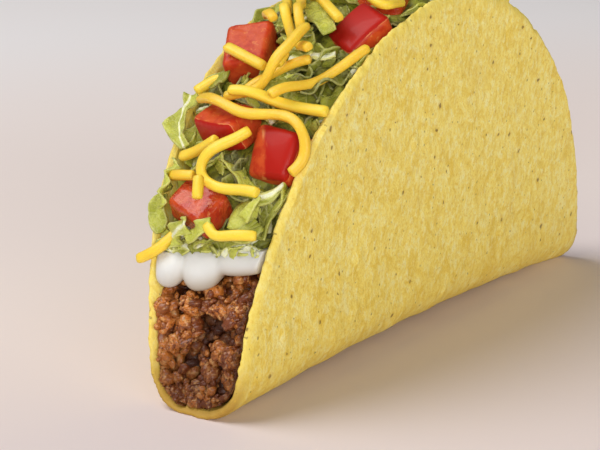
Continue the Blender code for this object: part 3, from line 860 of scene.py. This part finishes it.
def paintLettuceCore():
    # painted shade: the heap under the leaves is painted dark to green, darker than the leaves
    paint = Paint("lettuceShade", lettuceColours, Roughness=0.5)
    tone = paint.cloud(2.4, 3.0, 0.6, 0.5)
    paint.feed("Base Color", paint.blend(paint.between(tone, 0.35, 0.7), "dark", "green"))
    paint.feed("Normal", paint.bump(tone, 0.8))
    return paint


def paintLettuce():
    paint = Paint(
        "lettuceLeaf",
        lettuceColours,
        Roughness=0.4,
        Specular_IOR_Level=0.3,
        Subsurface_Weight=0.15,
        Subsurface_Scale=0.8 * mm,
        Subsurface_Radius=(0.9, 1.0, 0.3),
    )
    tone, rib, rim = (paint.layer(name) for name in leafLayers)
    blotch = paint.cloud(3.0, 2.0, 0.55)
    wrinkle = paint.cloud(0.9, 3.0, 0.6, 1.2)
    shade = tone + (blotch - 0.5) * 0.8 + (wrinkle - 0.5) * 0.2
    veins = paint.net(2.1, 0.3) + paint.net(0.9, 0.16) * 0.4
    ribbed = rib.sum("ABSOLUTE", rib) + (wrinkle - 0.5) * 0.4
    green = paint.coats(
        paint.blend(paint.between(shade, -0.1, 0.45), "dark", "green"),
        (paint.between(shade, 0.4, 1.0), "light"),
        (veins * 0.13, "pale"),
        # painted highlight: a pale line along the cut edge of each leaf
        (paint.between(rim, 0.3, 0.0) * 0.3, "pale"),
        (paint.between(ribbed, 2.6, 1.0) * 0.8, "pale"),
        (paint.between(ribbed, 1.2, 0.7), "rib"),
    )
    paint.feed("Base Color", green)
    paint.feed("Normal", paint.bump(wrinkle, 0.25, 0.7, paint.bump(blotch - veins * 0.25, 0.5, 0.7)))
    return paint


# the looks of a leaf piece unless it says otherwise
plainLeaf = {
    "inside": True, "rib": None, "ribWidth": 0.5, "frill": 0.6,
    "cup": 0.15, "crumple": 0.6, "slant": 0.0, "cell": 0.7,
}
leafLayers = ("tone", "rib", "rim")


def edgesAt(edges, share):
    # how far a leaf reaches to either side there, in mm
    for (begins, left, right), (ends, nextLeft, nextRight) in zip(edges, edges[1:]):
        if share <= ends:
            part = (share - begins) / (ends - begins)
            return mix(left, nextLeft, part), mix(right, nextRight, part)
    return edges[-1][1:]


class Leaves:
    # many leaf pieces in one mesh, each grown along a course
    def __init__(self):
        self.bm = bmesh.new()
        self.tone, self.rib, self.rim = newLayers(self.bm, *leafLayers)

    def grow(self, course, edges, shade, rng, **look):
        look = {**plainLeaf, **look}
        rows = len(course)
        columns = max(round(max(left + right for _, left, right in edges) / look["cell"]), 3)
        made = bmesh.ops.create_grid(self.bm, x_segments=rows - 1, y_segments=columns, size=1.0)
        own = rng.uniform(0.0, 50.0)
        waves, phase = rng.uniform(4.0, 7.5) * mm, rng.uniform(0.0, math.tau)
        lengths = [0.0]
        for before, after in zip(course, course[1:]):
            lengths.append(lengths[-1] + (after[0] - before[0]).length)
        for vert in made["verts"]:
            share, s = (vert.co.x + 1.0) / 2.0, vert.co.y
            k = min(round(share * (rows - 1)), rows - 1)
            centre, side, out = course[k]
            half = edgesAt(edges, share)[1 if s > 0.0 else 0] * mm
            aside = s * half
            flat = Vector((lengths[k], aside, own * mm))
            wave = math.sin(math.tau * lengths[k] / waves + phase + math.copysign(0.9, s)) * s * s
            folds, wrinkles = (abs(noise.noise(flat / (size * mm))) for size in (5.2, 2.3))
            crease = 0.9 - 2.8 * folds - 0.5 * wrinkles
            away = 9.0 if look["rib"] is None else (aside / mm - look["rib"]) / look["ribWidth"]
            lift = look["frill"] * wave + look["crumple"] * crease + 0.3 * ease(1.6, 0.4, abs(away))
            ahead = side.cross(out) * look["slant"]
            rise = look["cup"] * half * (s * s - 0.3) + lift * mm
            vert.co = centre + side * aside + out * rise + ahead * aside
            if look["inside"]:
                spot = vert.co
                near, far = (across(spot.x, spot.z, place, 0.5 * mm) for place in (-1.0, 1.0))
                vert.co.y = min(max(spot.y, near), far)
            vert[self.tone] = shade
            vert[self.rib] = away
            vert[self.rim] = (1.0 - abs(s)) * half / mm

    def finish(self, name, paint, nodes):
        bm = modified(self.bm, "SOLIDIFY", thickness=lettuceHeap["thickness"], offset=0.0)
        bmesh.ops.recalc_face_normals(bm, faces=bm.faces)
        return keepPiece(name, bm, paint, nodes)


def radiusOf(point):
    point = point - shellShape["settle"]
    return math.hypot(point.x, point.z)


outside = 130.0 * mm  # from the foot, clear of everything


def outermost(tree, angle, y):
    # radius at which a ray going in from outside meets the tree
    inwards = polar(angle, 0.0, 0.0) - polar(angle, 1.0, 0.0)
    hit = tree.ray_cast(polar(angle, outside, y), inwards)[0]
    return None if hit is None else radiusOf(hit)


def framed(course, roll=0.0, twist=0.0):
    # the points of a course with a side and an outward direction at each
    frames = []
    for k, centre in enumerate(course):
        ahead = (course[min(k + 1, len(course) - 1)] - course[max(k - 1, 0)]).normalized()
        outward = Vector((centre.x, 0.0, centre.z)).normalized()
        side = ahead.cross(outward).normalized()
        side = Matrix.Rotation(roll + twist * (k / len(course) - 0.5), 3, ahead) @ side
        frames.append((centre, side, side.cross(ahead)))
    return frames


def randomEdges(rng, width, shreds):
    # the cut outline of a leaf piece, ragged on a leaf and even on a shred
    count = 2 if shreds else rng.randint(3, 5)
    spread = 0.15 if shreds else 0.45
    edges = []
    for k in range(count + 1):
        tip = rng.uniform(0.15, 0.9) if k in (0, count) and not shreds else 1.0
        left, right = (width / 2.0 * tip * rng.uniform(1.0 - spread, 1.0 + spread) for _ in range(2))
        edges.append((k / count, left, right))
    return edges


def layLeaf(leaves, kind, rng, trees):
    # a random leaf piece that lies in the heap's surface, under the dice and the cheese
    look = leafKinds[kind]
    first = lettuceHeap["start"]
    angle, place = rng.uniform(first + 0.6, 179.4 - first), rng.uniform(-0.93, 0.93)
    turn, bend = rng.uniform(0.0, math.tau), rng.uniform(-1.0, 1.0)
    length, width = rng.uniform(*look["length"]) * mm, rng.uniform(*look["width"])
    rows = max(round(length / (look["step"] * mm)), 6)
    middle = rimRadius(angle)
    start = polar(angle, middle, 0.0)
    arc, y = math.radians(angle) * middle, across(start.x, start.z, place) - shellShape["settle"].y
    hollow = 0.0
    for deepAngle, deepY, size in lettuceHeap["hollows"]:
        off = math.hypot(math.radians(angle - deepAngle) * middle, y - deepY * mm)
        hollow = max(hollow, ease(size * 1.3 * mm, size * 0.6 * mm, off))
    points, roofs = [], []
    for k in range(rows + 1):
        heading = turn + bend * (k / rows - 0.5)
        arc += math.cos(heading) * length / rows
        y += math.sin(heading) * length / rows
        here = math.degrees(arc / middle)
        roof, die, shred = (outermost(tree, here, y) for tree in trees)
        if roof is None or not first - 1.0 < here < 181.0 - first:
            break
        if die is not None and die > roof - 1.0 * mm:
            roof = die - 5.0 * mm
        roofs.append(min(roof, shred - 2.4 * mm) if shred is not None else roof)
        points.append((here, y))
    if len(points) < 6:
        return False
    deep = mix(*look["deep"], rng.random()) + 2.4 * hollow
    wave, phase = rng.uniform(0.2, 1.2) * mm, rng.uniform(0.0, math.tau)
    course = []
    low = [min(roofs[max(k - 2, 0):k + 3]) for k in range(len(points))]
    for k, (here, y) in enumerate(points):
        near = low[max(k - 2, 0):k + 3]
        ripple = wave * (1.0 + math.sin(phase + 5.0 * k / len(points))) / 2.0
        radius = sum(near) / len(near) - deep * mm - ripple
        course.append(polar(here, radius, y))
    # painted shade: a random tone, painted darker in the hollows and the deeper a leaf lies
    shade = mix(0.1, 1.1, rng.random()) * (1.0 - 0.9 * hollow) - 0.14 * max(deep, 0.0)
    leaves.grow(
        framed(course, rng.gauss(0.0, 0.55), rng.uniform(-0.8, 0.8)),
        randomEdges(rng, width, kind == "shreds"),
        shade,
        rng,
        rib=rng.uniform(-0.3, 0.3) * width if rng.random() < 0.25 else None,
        ribWidth=rng.uniform(0.3, 0.7),
        frill=rng.uniform(0.3, 1.1) * (0.3 if kind == "shreds" else 1.0),
        cup=rng.uniform(-0.3, 0.5),
        crumple=rng.uniform(0.4, 1.0) * (0.4 if kind == "shreds" else 1.0) + 0.3 * hollow,
        slant=rng.uniform(-0.6, 0.6),
        cell=look["cell"],
    )
    return True


def layWallLeaf(leaves, rng, side, cheeseTree):
    # a leaf piece that stands against the inside of a wall, near its rim
    first = lettuceHeap["start"]
    angle, length = rng.uniform(first + 1.0, 172.0 - first), rng.uniform(6.0, 13.0) * mm
    sink = rng.uniform(1.2, 3.6) * mm - 0.6 * mm * side
    course = []
    rows = max(round(length / (0.8 * mm)), 7)
    for k in range(rows + 1):
        here = angle + math.degrees(length * k / rows / rimRadius(angle))
        spot = polar(here, rimRadius(here) - sink, 0.0)
        spot.y = across(spot.x, spot.z, side * 0.86)
        if outermost(cheeseTree, here, spot.y - shellShape["settle"].y):
            return
        course.append(spot)
    lean = math.copysign(math.pi / 2.0 - rng.uniform(-0.3, 0.5), side)
    leaves.grow(
        framed(course, lean),
        randomEdges(rng, rng.uniform(3.5, 6.0), False),
        rng.uniform(0.4, 0.95),
        rng,
        rib=0.0 if rng.random() < 0.2 else None,
        frill=rng.uniform(0.2, 0.6),
        crumple=rng.uniform(0.3, 0.6),
        cell=0.85,
    )


def layPlaced(leaves, rng, places, edges, shade, roll=0.0, **look):
    # a leaf piece through places given as angle, mm across and mm from the fold
    spots = [polar(angle, radius * mm, y * mm) for angle, y, radius in places]
    frames = smoothCourse(framed(spots, roll), 0.7 * mm)
    leaves.grow(frames, edges, shade, rng, **look)


def makeLettuceLeaves():
    rng = random.Random(lettuceHeap["seed"])
    trees = [nodeTree("lettuce"), nodeTree(*nodesNamed("tomato")), nodeTree(*nodesNamed("cheese"))]
    paint = paintLettuce()
    for kind, look in leafKinds.items():
        leaves = Leaves()
        laid = 0
        for _ in range(3 * look["count"]):
            laid += layLeaf(leaves, kind, rng, trees)
            if laid == look["count"]:
                break
        if kind == "shreds":
            layCreamEdge(leaves, rng)
            leaves.finish("lettuceShreds", paint, ["lettuce"])
            continue
        for side in (-1.0, 1.0):
            for _ in range(leafKinds["leaves"]["byWalls"]):
                layWallLeaf(leaves, rng, side, trees[2])
        for number, look in stripLooks.items():
            leaves.grow(barCourse(f"lettuce_strip_{number}", 0.7 * mm), rng=rng, **look)
        for look in placedLeaves:
            layPlaced(leaves, rng, **look)
        leaves.finish("lettuceLeaves", paint, nodesNamed("lettuce"))


creamEdge = {
    "count": 34,
    "angles": (25.5, 28.4),
    "places": 0.9,
    "lengths": (2.5, 6.0),
    "widths": (1.6, 3.2),
    "out": (0.1, 1.1),  # mm past the opening, and how many more next to the cream
}


def layCreamEdge(leaves, rng):
    # little pale ends of leaf that hang over the cream's upper edge at both ends
    places, (least, more) = creamEdge["places"], creamEdge["out"]
    for end in (0.0, 180.0):
        for _ in range(creamEdge["count"]):
            angle, place = abs(end - rng.uniform(*creamEdge["angles"])), rng.uniform(-places, places)
            spot = polar(angle, 72.5 * mm, 0.0)
            y = across(spot.x, spot.z, place) - shellShape["settle"].y
            reach = endX(spot.z, place, math.copysign(1.0, spot.x))
            turn, length = rng.uniform(0.0, math.tau), rng.uniform(*creamEdge["lengths"]) * mm
            course = []
            for k in range(6):
                slide = length * (k / 5.0 - 0.5)
                here = abs(end - (abs(end - angle) + math.degrees(slide * math.cos(turn) / reach) * 0.6))
                out = least * mm + more * mm * ease(27.0, 26.0, min(here, 180.0 - here))
                radius = reach / math.cos(math.radians(min(angle, 180.0 - angle))) + out
                course.append(polar(here, radius, y + slide * math.sin(turn)))
            edges = randomEdges(rng, rng.uniform(*creamEdge["widths"]), False)
            frames = framed(course, rng.gauss(0.0, 0.5))
            shade, rib = rng.uniform(0.5, 1.0), rng.choice((None, 0.0, 0.6))
            leaves.grow(frames, edges, shade, rng, rib=rib, frill=0.3)


# by the number of the strip: how far it reaches to either side along it, and its looks
stripLooks = {
    1: {
        "edges": ((0.0, 1.4, 2.4), (0.2, 0.5, 2.2), (0.5, 3.4, 1.3), (0.8, 1.7, 0.9), (1.0, 0.6, 1.3)),
        "shade": 0.75, "rib": 0.0, "ribWidth": 0.15, "frill": 0.6, "cup": 0.4, "inside": False,
    },
    2: {
        "edges": ((0.0, 1.0, 1.4), (0.35, 2.3, 1.6), (0.7, 2.2, 2.0), (1.0, 0.8, 1.4)),
        "shade": 0.7, "cup": 0.5, "inside": False,
    },
    3: {
        "edges": ((0.0, 0.3, 0.4), (0.3, 2.4, 2.8), (0.75, 2.9, 1.9), (1.0, 0.7, 0.2)),
        "shade": 0.75, "crumple": 0.6, "frill": 0.2, "cup": -0.25,
    },
    4: {
        "edges": ((0.0, 1.3, 1.2), (0.5, 1.1, 1.4), (1.0, 0.9, 0.8)),
        "shade": 0.7, "rib": 0.5, "ribWidth": 0.35, "frill": 0.2,
    },
    5: {
        "edges": ((0.0, 1.2, 1.2), (0.5, 1.5, 1.3), (1.0, 1.2, 0.9)),
        "shade": 0.8, "rib": -0.3, "ribWidth": 0.7, "frill": 0.3,
    },
    6: {"edges": ((0.0, 1.6, 2.0), (0.5, 2.6, 2.2), (1.0, 1.6, 1.2)), "shade": 0.8},
    7: {
        "edges": ((0.0, 1.0, 1.6), (0.4, 2.4, 1.8), (1.0, 1.0, 1.2)),
        "shade": 0.8, "rib": 0.4, "ribWidth": 0.3, "inside": False,
    },
    8: {
        "edges": ((0.0, 1.4, 1.0), (0.3, 2.2, 2.6), (0.7, 1.8, 2.4), (1.0, 1.2, 0.7)),
        "shade": 0.85, "inside": False,
    },
    9: {"edges": ((0.0, 1.2, 1.4), (0.5, 2.0, 2.2), (1.0, 1.4, 1.0)), "shade": 0.7},
    10: {
        "edges": ((0.0, 1.4, 1.8), (0.4, 2.2, 1.6), (1.0, 0.8, 1.4)),
        "shade": 0.85, "rib": 0.0, "ribWidth": 0.3,
    },
}

placedLeaves = (
    {
        "places": ((53.2, 17.6, 72.8), (53.8, 14.0, 73.8), (54.3, 10.8, 74.6)),
        "edges": ((0.0, 0.3, 0.3), (0.4, 1.4, 1.8), (1.0, 2.4, 2.8)),
        "shade": 0.42,
    },
    # painted shade: a crumpled leaf painted nearly black where the heap lies in shadow by the near wall
    {
        "places": ((53.0, -6.3, 73.2), (55.3, -8.2, 73.0), (57.6, -10.0, 72.6), (60.2, -11.6, 72.2)),
        "edges": ((0.0, 1.6, 2.2), (0.5, 3.2, 3.4), (1.0, 2.2, 2.0)),
        "shade": 0.06, "crumple": 1.3, "frill": 0.9,
    },
    {
        "places": ((30.6, -10.2, 71.6), (29.0, -8.8, 72.6), (27.6, -6.4, 73.8)),
        "edges": ((0.0, 1.6, 1.8), (0.5, 2.4, 2.0), (1.0, 0.4, 0.8)),
        "shade": 0.55, "crumple": 0.4, "frill": 0.3,
    },
    {
        "places": ((34.2, -10.2, 74.2), (32.4, -8.4, 74.0), (30.8, -7.4, 73.8)),
        "edges": ((0.0, 0.2, 0.2), (0.5, 0.9, 1.0), (1.0, 1.6, 1.1)),
        "shade": 1.0, "crumple": 0.2, "frill": 0.1,
    },
    {
        "places": ((26.8, 4.6, 72.8), (28.2, 1.4, 73.8), (29.6, -1.0, 74.2)),
        "edges": ((0.0, 1.3, 1.0), (0.5, 1.9, 1.5), (1.0, 1.0, 0.5)),
        "shade": 0.85, "crumple": 0.8, "frill": 0.7,
    },
    {
        "places": ((66.2, 5.6, 75.4), (63.8, 1.1, 75.2), (60.8, -3.6, 75.6)),
        "edges": ((0.0, 1.6, 2.2), (0.5, 3.0, 3.2), (1.0, 1.8, 2.0)),
        "shade": 0.6, "crumple": 0.9,
    },
    {
        "places": ((28.6, 4.6, 74.2), (28.0, 7.6, 72.0), (26.8, 10.2, 70.6), (25.4, 12.0, 70.0)),
        "edges": ((0.0, 1.4, 1.6), (0.5, 2.6, 2.2), (1.0, 1.8, 1.4)),
        "shade": 0.75, "rib": 0.3, "ribWidth": 0.4, "frill": 1.2,
    },
    {
        "places": ((31.0, 12.6, 72.4), (33.6, 13.8, 72.2), (36.6, 15.4, 71.4), (39.4, 15.6, 71.0)),
        "edges": ((0.0, 0.4, 1.2), (0.3, 2.3, 1.3), (0.6, 1.5, 2.3), (1.0, 0.9, 0.5)),
        "shade": 0.85, "roll": -0.9, "frill": 1.0, "crumple": 1.0,
    },
)


makeLettuceCore()
makeLettuceLeaves()


# Tomato

tomatoDice = {
    "cell": 0.42 * mm,
    "curve": 32.0 * mm,
    "rounds": 4,  # times that a die is smoothed
    # which way the skin of a die faces, by its number
    "skins": {
        2: (-0.6, -0.7, 0.4),
        3: (-0.7, -0.5, -0.3),
        5: (-0.6, -0.1, 0.8),
        6: (0.2, -0.3, 1.0),
        7: (0.1, 0.3, 1.0),
        9: (0.3, 0.2, 1.0),
        11: (0.8, -0.3, 0.5),
    },
    # how far the skin reaches round the edges of its side, in mm
    "reach": {2: 1.7},
    # past this far from the middle that way, in mm, the flesh shows in place of the skin
    "cuts": {2: ((-0.596, 0.803, 0.0), 2.3)},
    "wet": (1, 6, 10),
}


def makeTomatoes():
    joined = bmesh.new()
    newLayers(joined, "skinDepth", "wet")
    for number in range(1, len(nodesNamed("tomato")) + 1):
        name = f"tomato_{number}"
        bm = nodeMesh(name)
        bm.verts.index_update()
        skin = None
        if number in tomatoDice["skins"]:
            skin, normal = skinOf(bm, Vector(tomatoDice["skins"][number]).normalized())
        middle = sum((vert.co for vert in bm.verts), Vector()) / len(bm.verts)
        rounded = modified(bm, "REMESH", mode="VOXEL", voxel_size=tomatoDice["cell"])
        skinDepth, wet = newLayers(rounded, "skinDepth", "wet")
        smoothed(rounded, tomatoDice["rounds"])
        for vert in rounded.verts:
            depth = 9.0
            if skin:
                depth = skin.find_nearest(vert.co)[3] / mm
                beside = (vert.co - middle) - normal * (vert.co - middle).dot(normal)
                diameter = 2.0 * tomatoDice["curve"]
                vert.co -= normal * beside.length_squared / diameter * ease(4.0, 0.0, depth)
                depth = max(depth - tomatoDice["reach"].get(number, 0.5), 0.0)
            if number in tomatoDice["cuts"]:
                way, reach = tomatoDice["cuts"][number]
                past = (vert.co - middle).dot(Vector(way)) / mm - reach + 0.4 * rough(vert.co, 3.0 * mm, 4.0)
                depth = max(depth, 0.25 * past)
            lump = 0.12 * rough(vert.co, 2.6 * mm, 3.0) + 0.05 * rough(vert.co, 1.1 * mm, 5.0)
            vert.co += vert.normal * lump * mm * ease(0.2, 1.2, depth)
            vert[skinDepth] = depth
            vert[wet] = 1.0 if number in tomatoDice["wet"] else 0.15
        joinTo(joined, rounded)
    return keepPiece("tomatoDice", joined, paintTomato(), nodesNamed("tomato"))


def skinOf(bm, wanted):
    # the side of a die that faces that way, as a tree, and its normal
    big = [face for face in bm.faces if face.calc_area() > 8.0 * mm * mm]
    facing = max(big, key=lambda face: face.normal.dot(wanted)).normal
    side = [face for face in bm.faces if face.normal.dot(facing) > 0.93]
    normal = sum((face.normal * face.calc_area() for face in side), Vector()).normalized()
    corners = [vert.co.copy() for vert in bm.verts]
    return BVHTree.FromPolygons(corners, [[vert.index for vert in face.verts] for face in side]), normal


tomatoColours = {
    "skin": (0.45, 0.014, 0.008),
    "flesh": (0.62, 0.085, 0.02),
    "streak": (0.76, 0.25, 0.06),
    "line": (0.80, 0.30, 0.10),
}


def paintTomato():
    paint = Paint(
        "tomatoFlesh",
        tomatoColours,
        Roughness=0.25,
        Specular_IOR_Level=0.14,
        Subsurface_Weight=0.06,
        Subsurface_Scale=1.0 * mm,
        Subsurface_Radius=(1.0, 0.2, 0.08),
        Coat_Roughness=0.06,
    )
    depth = paint.layer("skinDepth")
    blotch = paint.cloud(2.6, 2.0, 0.55, 0.4)
    fibre = paint.cloud((0.8, 1.3, 1.6), 2.0, 0.6, 0.6)
    flesh = paint.blend(paint.between(blotch, 0.42, 0.68) * 0.7, "flesh", "skin")
    flesh = paint.blend(paint.between(fibre, 0.58, 0.74) * 0.6, flesh, "streak")
    line = paint.between(depth, 0.1, 0.18) * paint.between(depth, 0.36, 0.26)
    colour = paint.blend(paint.between(depth, 0.15, 0.3), "skin", flesh)
    broken = paint.between(paint.cloud(3.5, 1.0), 0.45, 0.6)
    colour = paint.blend(line * broken * 0.8, colour, "line")
    paint.feed("Base Color", colour)
    wet = paint.layer("wet")
    paint.feed("Roughness", paint.between(wet * paint.between(depth, 0.2, 0.6), 0.0, 1.0, 0.42, 0.12))
    paint.feed("Coat Weight", wet * 0.4)
    ripple = paint.cloud(0.9, 2.0, 0.6, 1.0)
    paint.feed("Normal", paint.bump((fibre + ripple) * wet * paint.between(depth, 0.3, 0.9), 0.3, 0.9))
    return paint


makeTomatoes()


# Cheese

cheeseShreds = {
    "width": 2.05 * mm,
    "thickness": 1.65 * mm,
    "step": 0.8 * mm,
    "profile": 10,
    "seed": 5,
}


def sweep(course, halfWidth, halfThick, rng):
    # a rounded bar along a course: a grid rolled up and closed at its ends
    sides, last = cheeseShreds["profile"], len(course) - 1
    start, end = [(0, 0.0, 0.62), (0, 0.12 * mm, 0.9)], [(last, -0.12 * mm, 0.9), (last, 0.0, 0.62)]
    stations = start + [(k, 0.0, 1.0) for k in range(1, last)] + end
    bm = bmesh.new()
    made = bmesh.ops.create_grid(bm, x_segments=sides, y_segments=len(stations) - 1, size=1.0)
    own = rng.uniform(0.0, 60.0)
    for vert in made["verts"]:
        turn = math.pi * (vert.co.x + 1.0)
        k, slide, size = stations[round((vert.co.y + 1.0) / 2.0 * (len(stations) - 1))]
        centre, side, out = course[k]
        ahead = (course[min(k + 1, last)][0] - course[max(k - 1, 0)][0]).normalized()
        spot = Vector((k * cheeseShreds["step"], 0.0, 0.0))
        wide = size * halfWidth * (1.0 + 0.1 * rough(spot, 9.0 * mm, own))
        thick = size * halfThick * (1.0 + 0.1 * rough(spot, 8.0 * mm, own + 7.0))
        x, y = (math.copysign(abs(value) ** 0.62, value) for value in (math.cos(turn), math.sin(turn)))
        vert.co = centre + ahead * slide + side * x * wide + out * y * thick
    bmesh.ops.remove_doubles(bm, verts=bm.verts, dist=0.001 * mm)
    bmesh.ops.holes_fill(bm, edges=[edge for edge in bm.edges if edge.is_boundary], sides=0)
    bmesh.ops.recalc_face_normals(bm, faces=bm.faces)
    return bm


def makeCheese():
    rng = random.Random(cheeseShreds["seed"])
    joined = bmesh.new()
    newLayers(joined, "tone")
    for name in nodesNamed("cheese"):
        course = barCourse(name, cheeseShreds["step"])
        bm = sweep(course, cheeseShreds["width"] / 2.0, cheeseShreds["thickness"] / 2.0, rng)
        (tone,) = newLayers(bm, "tone")
        shade = rng.random()
        bm.normal_update()
        for vert in bm.verts:
            vert.co += vert.normal * 0.06 * mm * rough(vert.co, 4.5 * mm, 2.0)
            vert[tone] = shade
        joinTo(joined, bm)
    return keepPiece("cheeseShreds", joined, paintCheese(), nodesNamed("cheese"))


cheeseColours = {
    "deep": (0.92, 0.57, 0.04),
    "bright": (0.98, 0.69, 0.055),
    "pale": (0.99, 0.80, 0.17),
}


def paintCheese():
    paint = Paint(
        "gratedCheese",
        cheeseColours,
        Roughness=0.42,
        Specular_IOR_Level=0.4,
        Subsurface_Weight=0.2,
        Subsurface_Scale=1.5 * mm,
        Subsurface_Radius=(1.0, 0.6, 0.15),
    )
    tone = paint.layer("tone")
    soft = paint.cloud(4.0)
    fine = paint.cloud(0.5, 2.0, 0.6)
    colour = paint.blend(paint.between(tone * 0.5 + soft * 0.7, 0.3, 0.8), "deep", "bright")
    colour = paint.blend(paint.between(fine, 0.55, 0.8) * 0.5, colour, "pale")
    paint.feed("Base Color", colour)
    paint.feed("Normal", paint.bump(fine, 0.08, 0.6))
    return paint


makeCheese()


# Floor, light and camera

studio = {
    "floorSize": 9.0,
    "floorNear": (-0.05, -0.25, 0.0),
    # colours of the floor, and how far from there each begins and is full; lighter further out, as painted
    # light where less lamp light reaches
    "floorColours": (
        (0.83, 0.72, 0.705),
        (0.93, 0.815, 0.77, 0.22, 0.36),
        (0.95, 0.91, 0.91, 0.4, 0.95),
    ),
    "sky": (1.0, 1.0, 1.0),
    "skyStrength": 0.12,
    "aim": Vector((0.0, 0.0, 0.04)),  # what every light points at
    "lights": (
        # name, place, size, watts and colour
        ("key", (-1.0, 1.6, 2.95), (3.0, 3.0), 97.0, (1.0, 0.99, 0.98)),
        ("fill", (-2.3, -2.35, 0.8), (4.0, 1.4), 80.0, (1.0, 1.0, 1.0)),
    ),
}

tacoView = {
    "azimuth": -53.436,
    "elevation": 13.315,
    "roll": -1.343,
    "lens": 86.805,
    "sensor": 36.0,
    "place": Vector((-263.725, -171.609, 96.554)) * mm,
}


def makeStudio():
    bm = bmesh.new()
    bmesh.ops.create_grid(bm, x_segments=1, y_segments=1, size=studio["floorSize"] / 2.0)
    mesh = bpy.data.meshes.new("floor")
    bm.to_mesh(mesh)
    bm.free()
    floor = bpy.data.objects.new("floor", mesh)
    bpy.context.scene.collection.objects.link(floor)
    paint = Paint("paleFloor", Roughness=0.75, Specular_IOR_Level=0.2)
    # painted light: the floor is painted lighter the further it lies from there
    ends = {0: paint.place, 1: studio["floorNear"]}
    far = paint.node("ShaderNodeVectorMath", {"operation": "DISTANCE"}, ends, "Value")
    near, *others = studio["floorColours"]
    colour = near
    for *following, begins, full in others:
        colour = paint.blend(paint.between(far, begins, full), colour, following)
    paint.feed("Base Color", colour)
    mesh.materials.append(paint.material)
    world = bpy.data.worlds.new("sky")
    bpy.context.scene.world = world
    world.use_nodes = True
    background = world.node_tree.nodes["Background"]
    background.inputs["Color"].default_value = (*studio["sky"], 1.0)
    background.inputs["Strength"].default_value = studio["skyStrength"]
    for name, place, size, watts, colour in studio["lights"]:
        light = bpy.data.lights.new(name, "AREA")
        light.shape = "ELLIPSE"
        light.size, light.size_y = size
        light.energy = watts
        light.color = colour
        lamp = bpy.data.objects.new(name, light)
        lamp.location = place
        lamp.rotation_euler = (studio["aim"] - Vector(place)).to_track_quat("-Z", "Y").to_euler()
        bpy.context.scene.collection.objects.link(lamp)


def makeCamera():
    data = bpy.data.cameras.new("camera")
    data.lens = tacoView["lens"]
    data.sensor_width = tacoView["sensor"]
    data.clip_start = 0.01
    camera = bpy.data.objects.new("camera", data)
    turn = (
        Matrix.Rotation(math.radians(tacoView["azimuth"]), 4, "Z")
        @ Matrix.Rotation(math.radians(90.0 - tacoView["elevation"]), 4, "X")
        @ Matrix.Rotation(math.radians(tacoView["roll"]), 4, "Z")
    )
    camera.matrix_world = Matrix.Translation(tacoView["place"]) @ turn
    bpy.context.scene.collection.objects.link(camera)
    bpy.context.scene.camera = camera


makeStudio()
makeCamera()

print("scene ready")
